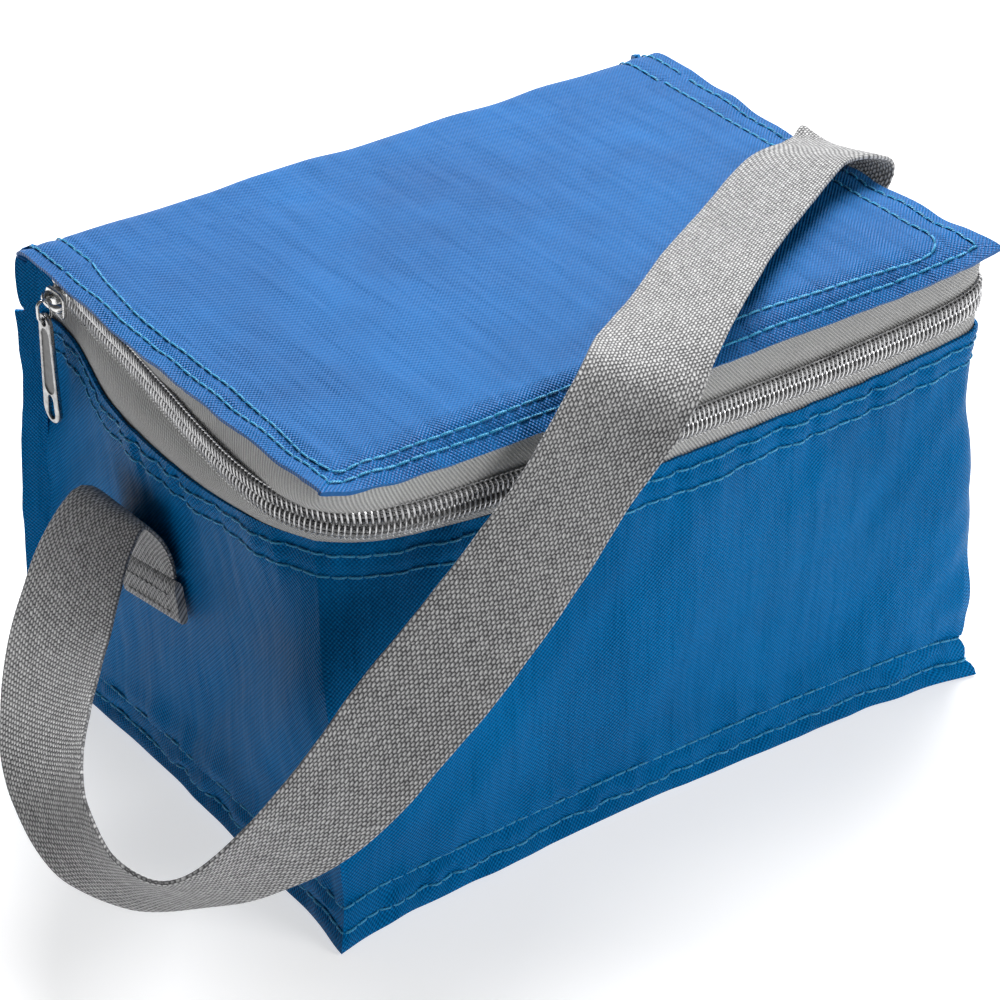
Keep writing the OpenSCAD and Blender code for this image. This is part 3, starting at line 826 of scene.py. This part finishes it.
def cut_plate(name, outlines, thick, bevel, place, material):
    """Flat plate with rounded edges from closed outlines; those inside the first are holes."""
    data = bpy.data.curves.new(name, "CURVE")
    data.dimensions = "2D"
    data.fill_mode = "BOTH"
    for line in outlines:
        spline = data.splines.new("POLY")
        spline.points.add(len(line) - 1)
        for k, (x, y) in enumerate(line):
            spline.points[k].co = (x * MM, y * MM, 0, 1)
        spline.use_cyclic_u = True
    data.extrude = (thick / 2 - bevel) * MM
    data.bevel_depth = bevel * MM
    data.bevel_resolution = 2
    data.offset = -bevel * MM
    temp = add_object(name + "_curve", data)
    mesh = bpy.data.meshes.new_from_object(temp.evaluated_get(bpy.context.evaluated_depsgraph_get()))
    bpy.data.objects.remove(temp)
    mesh.transform(place)
    mesh.name = name
    mesh.materials.clear()
    mesh.materials.append(material)
    mesh.polygons.foreach_set("use_smooth", [True] * len(mesh.polygons))
    mesh.set_sharp_from_angle(angle=math.radians(35))
    return add_object(name, mesh)


def arc_points(cx, cy, r, start, end, n=14):
    """Points of an arc, from one angle to another in degrees."""
    q = np.radians(np.linspace(start, end, n))
    return [(cx + r * math.cos(v), cy + r * math.sin(v)) for v in q]


def box_outline(w, h, r, cx=0.0, cy=0.0):
    w, h = w / 2 - r, h / 2 - r
    out = []
    for sx, sy, a0 in ((1, 1, 0), (-1, 1, 90), (-1, -1, 180), (1, -1, 270)):
        out += arc_points(cx + sx * w, cy + sy * h, r, a0, a0 + 90, 6)
    return out


def placed(x, y, z, tilt=0.0):
    """Place of a plate that faces left, its x forwards and its y upwards, tilted by some degrees."""
    turned = Matrix.Rotation(math.radians(tilt), 4, "X") @ LEFTWARD
    return Matrix.Translation((x * MM, y * MM, z * MM)) @ turned


def join(name, parts):
    bpy.ops.object.select_all(action="DESELECT")
    for o in parts:
        o.select_set(True)
    bpy.context.view_layer.objects.active = parts[0]
    bpy.ops.object.join()
    parts[0].name = name
    return parts[0]


tilt = math.degrees(math.atan(SLOPE))
shield = [
    (-4.6, 1.8), (-4.0, 2.6), (-1.8, 3.2), (2.4, 3.8), (4.0, 3.5), (4.8, 2.6), (4.8, -2.6), (4.0, -3.5),
    (2.4, -3.8), (-1.8, -3.2), (-4.0, -2.6), (-4.6, -1.8)
]
neck_outline = box_outline(2.4, 2.2, 0.5, -4.0)
face, rear, neck = (
    cut_plate(name, [outline], thick, bevel, placed(x, SLIDER_Y, SLIDER_Z, tilt), NICKEL)
    for name, outline, thick, bevel, x in (
        ("slider_face", shield, 1.3, 0.4, PLATE_X + 0.5), ("slider_rear", shield, 1.2, 0.3, -98.4),
        ("slider_neck", neck_outline, 4.6, 0.3, -100.8)
    )
)
crown = Batch()
q = np.linspace(0, math.pi, 17)
bow_x, bow_y = PLATE_X + 0.2 - 2.35 * np.sin(q) ** 0.6, 3.7 * np.cos(q)
bow = stacked(bow_x, SLIDER_Y + bow_y, SLIDER_Z + SLOPE * bow_y)
crown.tube(bow, 0.6 + 0.35 * abs(np.cos(q)) ** 3, 10, up=[0, 0, 1.0], flat=1.5)
slider = join("slider_body", [face, rear, neck, crown.make("slider_crown", NICKEL)])
dress(slider, "slider", "nickel", "zip_slider")

ring = Batch()
ring_mid = HOLE_LOW + 2.5
line = box_outline(3.9, 5.9, 1.5)
loop = np.array([(RING_X + x, SLIDER_Y, ring_mid + y) for x, y in line])
ring.tube(loop, 0.45, 9, close=True)
dress(ring.make("ring_wire", NICKEL), "ring", "nickel", "pull_ring")

TOP_R, FOOT_R = 3.0, 4.2
foot_y = -(33.0 - TOP_R - FOOT_R)


def tab_outline(inset):
    return arc_points(0, 0, TOP_R - inset, 0, 180) + arc_points(0, foot_y, FOOT_R - inset, 180, 360)


hole_at = 123.44 - TAB_TOP + TOP_R - 0.3
hole = arc_points(0, hole_at, 1.25, 0, 350, 16)
slot_hole = arc_points(0, foot_y + 2.6, 1.5, 0, 180, 8) + arc_points(0, foot_y - 1.2, 1.9, 180, 360, 8)
inner_edge = arc_points(0, -3.6, 2.1, 0, 180) + arc_points(0, foot_y + 7.4, 2.7, 180, 360)
where = placed(RING_X, SLIDER_Y, TAB_TOP - TOP_R)
# The tab's frame gets a darker grey nickel than the slider and ring, and its inner panel, set into the frame,
# a near-black one.
TAB_PANEL_METAL = metal("nickel_dark", (0.05, 0.05, 0.05), (0.12, 0.12, 0.12), 0.4, metallic=0.5)
TAB_FRAME_METAL = metal("nickel_tab", (0.22, 0.22, 0.22), (0.42, 0.42, 0.42), 0.25)
tab_frame = cut_plate("tab_frame", [tab_outline(0), hole, slot_hole, inner_edge], 1.4, 0.35, where, TAB_FRAME_METAL)
tab_panel = cut_plate("tab_panel", [tab_outline(0.6), hole, slot_hole], 0.7, 0.1, where, TAB_PANEL_METAL)
tab = join("tab_plate", [tab_frame, tab_panel])
dress(tab, "tab", "nickel", "pull_tab")

# ---------------------------------------------------------------- shoulder strap
# Stations of its middle line from the right sewn end over the lid to the left one: x, y, z of the middle,
# then the direction across the webbing, given one by one along the strap as it lies
ROUTE = [
    (102, 19.5, 64.5, 0, -1, -0.18), (102.5, 17.5, 76, 0, -1, -0.2), (105, 12, 93, 0, -1, -0.3),
    (108.5, 5, 111, 0, -1, -0.3), (111, -1.5, 125, 0.15, -1, -0.2), (109.3, -8.5, 136.5, 0.3, -1, 0.0),
    (99.5, -12.8, 141.6, 0.38, -0.9, 0.12), (88, -15, 143.5, 0.4, -0.9, 0.2), (75, -21, 143, 0.45, -0.9, 0.2),
    (54, -33, 142, 0.5, -0.85, 0.2), (33, -46, 142, 0.52, -0.83, 0.15), (13, -60, 142, 0.52, -0.83, 0.1),
    (-4, -72, 141.8, 0.52, -0.8, -0.1), (-18, -82, 138.5, 0.55, -0.65, -0.45),
    (-37, -86, 122, 0.6, -0.35, -0.72),
    (-63, -91, 102, 0.56, -0.45, -0.7), (-91, -94, 83, 0.52, -0.5, -0.7), (-119, -96, 64, 0.54, -0.2, -0.8),
    (-140, -91, 51, 0.55, 0.2, -0.8), (-153, -83, 45, 0.55, 0.4, -0.75), (-163, -70, 45, 0.3, 0.35, -0.9),
    (-167, -55, 50, -0.1, 0.3, -0.9), (-164, -39, 55, -0.4, 0.4, -0.8), (-157, -24, 59, -0.6, 0.5, -0.6),
    (-148, -10, 62, -0.67, 0.6, -0.45), (-138, 3, 66, -0.67, 0.7, -0.3), (-128, 13, 73, -0.55, 0.8, -0.25),
    (-119, 19, 80.5, -0.35, 0.92, -0.15), (-111, 21.5, 86, -0.1, 0.99, -0.05), (-105, 21.5, 81, 0, 1, -0.05),
    (-102.3, 21, 73, 0, 1, -0.12), (-102, 19.5, 64.5, 0, 1, -0.18),
]
STATIONS = 280
track = even(ROUTE, STATIONS, 24)
centre, across = track[:, :3], track[:, 3:]
along_s = lengths(centre)
ahead = unit(np.gradient(centre, axis=0))
across = unit(across - ahead * (across * ahead).sum(1, keepdims=True))
outward = np.cross(ahead, across)
SECTION = (
    [(-15, 0.0), (-14.85, 0.45), (-14.3, 0.66)] + [(x, 0.7) for x in np.linspace(-13, 13, 12)]
    + [(14.3, 0.66), (14.85, 0.45), (15, 0.0)]
)
SECTION += [(x, -y) for x, y in SECTION[-2:0:-1]]


def webbing_solid(name, rows, uv, smooth_angle):
    """Solid of webbing from its outlines one after another, closed at both ends."""
    n, m = rows.shape[:2]
    faces = grid_faces(n, m, close=True).tolist() + caps(n, m)
    return make(name, rows.reshape(-1, 3), faces, uv.reshape(-1, 2), STRAP, smooth_angle)


def ribbon(name, first, last):
    """Length of webbing between two stations, with its own soft edges."""
    rows = []
    for k in range(first, last + 1):
        s = along_s[k]
        sway = 0.25 * float(noise(s, 0, 61, 9))
        rows.append([centre[k] + across[k] * (x + sway) + outward[k] * y for x, y in SECTION])
    uv = stacked(np.array(SECTION)[None, :, 0] + 20, along_s[first:last + 1, None])
    return webbing_solid(name, np.array(rows), uv, 45), (along_s[last] - along_s[first]) * MM


first_split = int(np.argmax(centre[:, 2] > 94))
last_split = STATIONS - int(np.argmax(centre[::-1, 0] < -141.5))
start_at = int(np.argmax(centre[:, 2] > 64.9))
end_at = STATIONS - int(np.argmax(centre[::-1, 2] > 64.9))
rise, rise_len = ribbon("strap_right_rise", start_at, first_split)
run, run_len = ribbon("strap_run", first_split, last_split)
fall, fall_len = ribbon("strap_left_fall", last_split, end_at)
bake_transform(rise)
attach(run, "strap")
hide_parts("shoulder_strap")
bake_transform(fall)

# Sewn ends of the strap, doubled and stitched to the bag's sides: height along and thickness outwards
SEWN = np.array([0, 19.5, 64.5])
SEWN_X = 100.3
END = [(-10.4, 0.15), (-11.0, 0.6), (-11.2, 1.3), (-11.0, 2.1), (-10.2, 2.6), (-8, 2.75), (-5.5, 2.6)]
END += [(-3, 2.75), (-1, 2.7), (0.6, 2.3), (1.2, 1.5), (0.6, 0.6), (-0.5, 0.1), (-5, 0.0), (-9.5, 0.0)]


def beside_bag(side, out, along_side, up):
    """Point on a side wall where the strap is sewn on, in the slant of the sewn end."""
    tilt = math.radians(10 * side)
    cos, sin = math.cos(tilt), math.sin(tilt)
    return SEWN + [side * (SEWN_X + out), along_side * cos - up * sin, along_side * sin + up * cos]


for side, label in SIDES:
    rows = []
    for x in np.linspace(-15, 15, 25):
        soft = 0.12 * float(noise(x, 0, 71, 4))
        rows.append([beside_bag(side, out + soft * (out > 1), x, up + soft) for up, out in END])
    rows = np.array(rows)[::side]
    uv = stacked(np.linspace(5, 35, len(rows))[:, None], np.sum(END, axis=1) + 40)
    end = webbing_solid("strap_end_sewn_" + label, rows, uv, 50)
    dress(end, "bag", "webbing_grey", "strap_end_" + label)
    tacks = Batch()
    for level in (-3.4, -8.4):
        for k, x in enumerate(np.arange(-12, 12, 1.3)):
            step = 0.5 * (-1) ** k
            stitch = ((0, -0.2, 1), (0.4, 0.25, 0.4), (0.9, 0.25, -0.4), (1.3, -0.2, -1))
            tacks.tube([beside_bag(side, 2.72 + b, x + a, level + step * c) for a, b, c in stitch], 0.24, 5)
    tack = tacks.make("strap_stitches_" + label, GREY_THREAD)
    dress(tack, "bag", "thread_grey", "strap_tack_" + label)


# ---------------------------------------------------------------- stitch rows
def sample(grid, r, c):
    """Points of a grid at fractional rows and columns."""
    r, c = np.asarray(r, float), np.asarray(c, float)
    i = np.clip(np.floor(r).astype(int), 0, grid.shape[0] - 2)
    j = np.clip(np.floor(c).astype(int), 0, grid.shape[1] - 2)
    a, b = (r - i)[..., None], (c - j)[..., None]
    return (
        (grid[i, j] * (1 - a) + grid[i + 1, j] * a) * (1 - b)
        + (grid[i, j + 1] * (1 - a) + grid[i + 1, j + 1] * a) * b
    )


def on_cloth(P, r, c):
    """Positions and normals on a cloth's grid at fractional rows and columns."""
    return sample(P, r, c), sample(grid_normals(P), r, c)


def stitch_row(batch, path, normal, pitch=4.0, length=3.4, radius=0.31, lift=0.12, seed=1):
    """Row of thread stitches along a path, each one rising out of the cloth and going back in."""
    s = lengths(path)
    rng = np.random.RandomState(seed)
    for at in np.arange(0.5, s[-1] - length, pitch):
        at = at + rng.uniform(-0.12, 0.12)
        here = at + length * np.array([0, 0.15, 0.5, 0.85, 1])
        p, n = along(here, s, path), unit(along(here, s, normal))
        rise = np.array([-0.55, 0.75, 1.0, 0.75, -0.55]) * radius + lift
        batch.tube(p + n * rise[:, None], radius * rng.uniform(0.92, 1.08), 6)


rim_stitches = Batch()
columns = np.arange(COLS, dtype=float)
for drop, seed in ((RIM_ROW_1, 2), (RIM_ROW_2, 3)):
    level = rim_height - drop
    row = (level - crease_height[:COLS]) / (rim_height - crease_height[:COLS]) * (ROWS - 1)
    stitch_row(rim_stitches, *on_cloth(WALL, row, columns), seed=seed)
dress(rim_stitches.make("rim_stitches", THREAD), "bag", "thread_blue", "rim_topstitch")


def lid_path(points):
    """Positions and normals on the lid's cloth at x and the distance from its front edge."""
    pts = even(points, int(lengths(np.array(points, float))[-1] / 1.2))
    c = (pts[:, 0] + SIDE_EDGE) / (2 * SIDE_EDGE) * (LID_COLS - 1)
    r = np.interp(pts[:, 1], lid_d, np.arange(LID_ROWS))
    return on_cloth(LID, r, c)


rear_d = FRONT_EDGE + LID_REAR - 0.5
lid_stitches = Batch()
side_1 = SIDE_EDGE - LID_ROW_1
left_1 = [(-side_1, d) for d in (rear_d, 90, 50, 8)] + [(-side_1 + 1, 4.6), (-side_1 + 4, LID_ROW_1)]
front_1 = [(x, LID_ROW_1) for x in range(-90, 91, 30)]
right_1 = [(-x, d) for x, d in left_1[::-1]]
stitch_row(lid_stitches, *lid_path(left_1 + front_1 + right_1), seed=4)
d_list = np.linspace(rear_d, 14, 12)
left_2 = [(-(SIDE_EDGE - float(inner_row(-1, d - FRONT_EDGE)[0])), d) for d in d_list]
front_2 = [(x, float(inner_row(x, 0)[1])) for x in (-97, -88, -70, -50, -30, -10, 10, 30, 50, 70, 88)]
right_2 = [(SIDE_EDGE - 11.2, d) for d in d_list[::-1]]
stitch_row(lid_stitches, *lid_path(left_2 + front_2 + right_2), seed=5)
dress(lid_stitches.make("lid_stitches", THREAD), "lid", "thread_blue", "lid_topstitch")

fold_stitches = Batch()
r_line = np.linspace(FOLD_ROWS, 16, 60)
for inset, seed in ((LID_ROW_1, 6), (LID_ROW_2, 7)):
    for side in (-1, 1):
        c_line = (1 + side * (1 - inset / SIDE_EDGE)) / 2 * (len(fold_across) - 1)
        stitch_row(fold_stitches, *on_cloth(FOLD, r_line, c_line + 0 * r_line), seed=seed)
dress(fold_stitches.make("fold_stitches", THREAD), "fold", "thread_blue")

hem_stitches = Batch()
for r, seed, radius in ((4, 10, 0.33), (9, 11, 0.28)):
    loop_p, loop_n = (np.vstack([g[r], g[r][:1]]) for g in (HEM, ring_normals(HEM)))
    stitch_row(hem_stitches, loop_p, loop_n, radius=radius, seed=seed, lift=0.18)
dress(hem_stitches.make("base_stitches", THREAD), "bag", "thread_blue", "base_topstitch")

# Upper ends of the corner seams and the gussets between the zip's ends and the back
for side, label in SIDES:
    F = corner_flange(side, 117.0, 136.9, 24, 25)
    F[..., 0] += side * 0.6 * ease((F[..., 2] - 125) / 10)
    part = cloth("upper_corner_seam_" + label, F, NYLON, 1.1)
    dress(part, "fold", "nylon_blue")
    gusset_z = np.linspace(112.5, 137.0, 16)[:, None]
    gusset_in = np.linspace(0, 1, 10)[None]
    gusset_x = 100.0 - 4.8 * gusset_in + 0.5 * hump(gusset_in) + 0.25 * noise(gusset_z, gusset_in * 10, 27, 6)
    G = stacked(side * gusset_x, 75.6 - 7.4 * gusset_in, gusset_z)
    part = cloth("zip_end_gusset_" + label, G if side > 0 else G[:, ::-1], NYLON, 0.8)
    dress(part, "fold", "nylon_blue")

# ---------------------------------------------------------------- foam and foil lining
def inner_ring(inset, low_z, extra=0.0, rows=30):
    """Closed tub wall that follows the outer cloth, inset from it."""
    normal = np.stack([np.gradient(RIM[:, 1]), -np.gradient(RIM[:, 0])], 1)
    top_wall = RIM - unit(normal) * inset
    top_wall[:, 1] = np.minimum(top_wall[:, 1], REAR_Y - inset)
    back = np.linspace(1, -1, WIDE_N + 1)[1:-1]
    top = np.vstack([top_wall, stacked(back * (99.5 - inset), REAR_Y - inset)])
    top_z = np.append(zip_height - 4.0 + extra, np.full(WIDE_N - 1, 125.5 + extra))
    up = np.linspace(0, 1, rows)[:, None]
    z = low_z * (1 - up) + top_z * up
    share_up = np.clip((z - 13.5) / 95.0, 0, 1)
    G = loft(base_ring(-inset), top, z, share_up)
    belly = np.append(np.where(on_side > 0.5, -2.2, 1.6), np.full(WIDE_N - 1, 0.8))[None]
    wave = 0.35 * noise(np.arange(RING)[None] * 1.4, z, 81, 13)
    bulge = belly * hump(share_up) * hump(ring_share) ** 0.6
    G = G + ring_normals(G) * (bulge + wave * (inset > 5))[..., None]
    if inset < 5:
        return G
    # The lining's top edge turns out to meet the zip tape
    edge = G[-1].copy()
    edge[:COLS, :2] = RIM - unit(normal) * 2.3
    edge[:COLS, 2] = zip_height - 1.2
    edge[:COLS, 1] = np.minimum(edge[:COLS, 1], REAR_Y - inset)
    return np.concatenate([G, np.stack([G[-1] * (1 - q) + edge * q for q in (0.35, 0.7, 1.0)])])


tub = cloth("liner_tub", inner_ring(6.8, 5.8)[:, ::-1], FOIL, 0.3, close=True, smooth_angle=60)
dress(tub, "bag", "foil_lining", "liner_wrap", "liner_back")
foam = cloth("foam_tub", inner_ring(3.9, 1.9, -2.0), FOAM, 2.5, close=True)
dress(foam, "bag", "foam_white", "foam_wrap", "foam_back")


def floor_panel(name, inset, z, thick, material, node, slot, amount):
    """Panel over the whole floor of the cavity, in rings round its middle."""
    k = np.linspace(0.001, 1, 26)[:, None]
    x, y = base_ring(-inset).T[:, None] * k
    G = stacked(x, y, z + amount * noise(x, y, 83, 16) * (1 - k**6))[::-1]
    panel = cloth(name, G, material, thick, close=True, uv=G[..., :2])
    return dress(panel, "bag", slot, node)


foam_floor = floor_panel("foam_floor", 7.2, 4.9, 3.0, FOAM, "foam_base", "foam_white", 0.15)
foil_floor = floor_panel("liner_floor", 7.0, 5.6, 0.25, FOIL, "liner_base", "foil_lining", 0.35)

lining_x, lining_d = np.meshgrid(
    np.linspace(-SIDE_EDGE + 7.5, SIDE_EDGE - 7.5, 70), np.linspace(7, FRONT_EDGE + LID_REAR - 1, 60)
)
lining_y, lining_z = lid_surface(lining_x, lining_d)
under = stacked(lining_x, lining_y, lining_z)
down = -grid_normals(under)
lid_foam = cloth("lid_foam", under + down * 1.9, FOAM, 1.9)
dress(lid_foam, "lid", "foam_white", "foam_lid")
foil_face = under + down * (4.5 + 0.25 * noise(lining_x, lining_d, 85, 14))[..., None]
lid_foil = cloth("lid_lining", foil_face[::-1], FOIL, 0.3)
dress(lid_foil, "lid", "foil_lining", "liner_lid")

fold_line = even([(69.3, 122), (69.0, 128), (66, 132), (61, 133.4), (54.5, 133.5)], 20)
inner_x = np.linspace(-96.5, 96.5, 60)
fold_z = fold_line[:, 1:] + 0.3 * noise(inner_x[None], fold_line[:, 1:], 87, 12)
inner_fold = cloth("liner_fold", stacked(inner_x[None], fold_line[:, :1], fold_z), FOIL, 0.3)
dress(inner_fold, "fold", "foil_lining")

# ---------------------------------------------------------------- floor, light and camera
g = Shader("studio_floor")
glow = {"Emission_Color": (1, 1, 1, 1), "Emission_Strength": 0.6}
paper = g.surface((0.55, 0.55, 0.555, 1), 0.9, Specular_IOR_Level=0.1, **glow)
corners = [(x * 4000, y * 4000, -0.05) for x, y in ((-1, -1), (1, -1), (1, 1), (-1, 1))]
ground = make("studio_floor", corners, [(0, 1, 2, 3)], None, paper)

world = bpy.data.worlds.new("studio")
bpy.context.scene.world = world
world.use_nodes = True
world.node_tree.nodes["Background"].inputs[0].default_value = (1.0, 1.0, 1.0, 1)
world.node_tree.nodes["Background"].inputs[1].default_value = 0.1


def softbox(name, place, aim, size, power):
    data = bpy.data.lights.new(name, "AREA")
    data.shape = "RECTANGLE"
    data.size, data.size_y = size
    data.energy = power
    light = add_object(name, data)
    light.location = place
    light.rotation_euler = (Vector(aim) - Vector(place)).to_track_quat("-Z", "Y").to_euler()


# Lights and camera stand in metres; the camera's direction was fitted to the box's edges in the photo
softbox("top_light", (0.4, 0.5, 1.2), (0, 0, 0.1), (0.9, 0.9), 39)
softbox("front_light", (0.75, -1.35, 0.8), (0, 0, 0.08), (0.7, 0.7), 14)
softbox("back_light", (0.62, 0.86, 0.78), (0, 0, 0.14), (0.5, 0.4), 3)

AZ, EL, ROLL = math.radians(-34.51), math.radians(32.08), math.radians(-0.74)
back_dir = Vector((math.sin(AZ) * math.cos(EL), -math.cos(AZ) * math.cos(EL), math.sin(EL)))
right_dir = Vector((0, 0, 1)).cross(back_dir).normalized()
up_dir = back_dir.cross(right_dir)
right2 = right_dir * math.cos(ROLL) + up_dir * math.sin(ROLL)
up2 = up_dir * math.cos(ROLL) - right_dir * math.sin(ROLL)
lens = bpy.data.cameras.new("camera")
lens.lens = 127.9
lens.sensor_width = 36
camera = add_object("camera", lens)
turn = Matrix((right2, up2, back_dir)).transposed().to_4x4()
camera.matrix_world = Matrix.Translation((-0.4711, -0.6815, 0.5779)) @ turn
bpy.context.scene.camera = camera
bpy.context.scene.view_settings.view_transform = "Standard"
